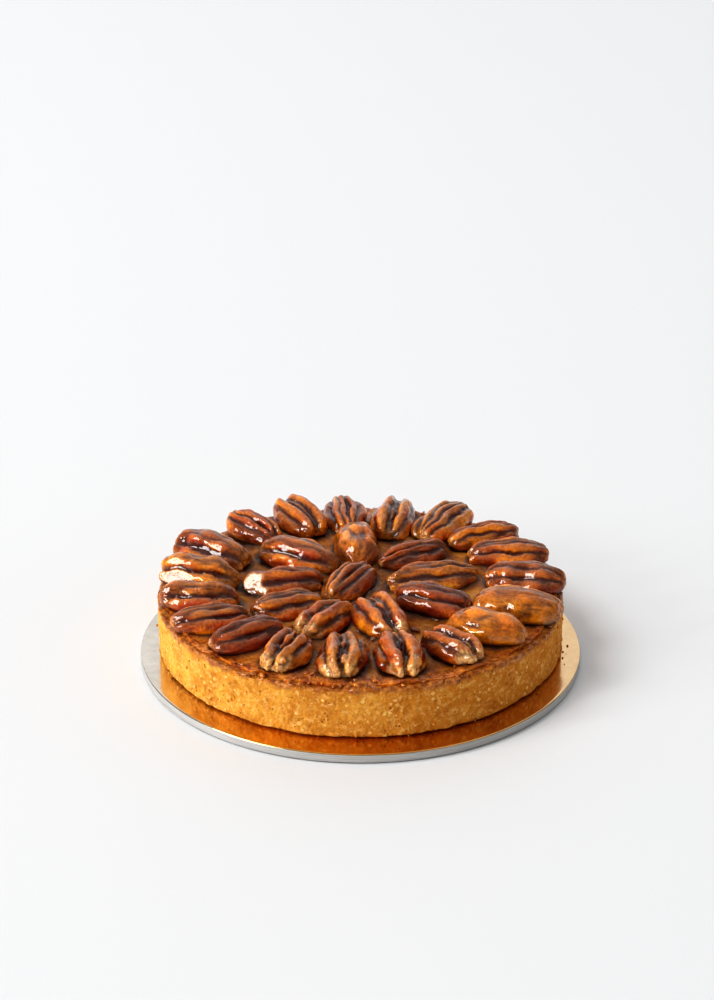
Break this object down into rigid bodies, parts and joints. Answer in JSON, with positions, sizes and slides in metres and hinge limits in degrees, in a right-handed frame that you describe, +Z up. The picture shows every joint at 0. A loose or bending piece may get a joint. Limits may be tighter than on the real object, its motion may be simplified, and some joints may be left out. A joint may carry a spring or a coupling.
{
  "type": "pecan tart",
  "caption": "Round straight-sided pecan tart, its shortcrust shell filled level and topped with rings of glazed pecan halves, on a gold foil cake card.",
  "frame": {"origin": "middle of the card's underside, on the table", "axes": "+Z up, -Y towards the side seen in the picture, +X to the right of it"},
  "size_m": [0.2, 0.2, 0.0404],
  "materials": {
    "card": "mirror-like gold foil over grey board, cut edge silvery grey",
    "pastry": "baked shortcrust, dry and grainy, browned along the rim",
    "filling": "baked caramel custard under a wet glaze",
    "pecan": "toasted pecan under a thick clear syrup glaze"
  },
  "bodies": {
    "root": {"cake_card": "card", "pastry_shell": "pastry", "filling": "filling", "outer_pecan_01": "pecan", "outer_pecan_02": "pecan", "outer_pecan_03": "pecan", "outer_pecan_04": "pecan", "outer_pecan_05": "pecan", "outer_pecan_06": "pecan", "outer_pecan_07": "pecan", "outer_pecan_08": "pecan", "outer_pecan_09": "pecan", "outer_pecan_10": "pecan", "outer_pecan_11": "pecan", "outer_pecan_12": "pecan", "outer_pecan_13": "pecan", "outer_pecan_14": "pecan", "outer_pecan_15": "pecan", "outer_pecan_16": "pecan", "outer_pecan_17": "pecan", "outer_pecan_18": "pecan", "outer_pecan_19": "pecan", "inner_pecan_01": "pecan", "inner_pecan_02": "pecan", "inner_pecan_03": "pecan", "inner_pecan_04": "pecan", "inner_pecan_05": "pecan", "inner_pecan_06": "pecan", "inner_pecan_07": "pecan", "inner_pecan_08": "pecan", "inner_pecan_09": "pecan", "middle_pecan": "pecan"}
  },
  "joints": []
}
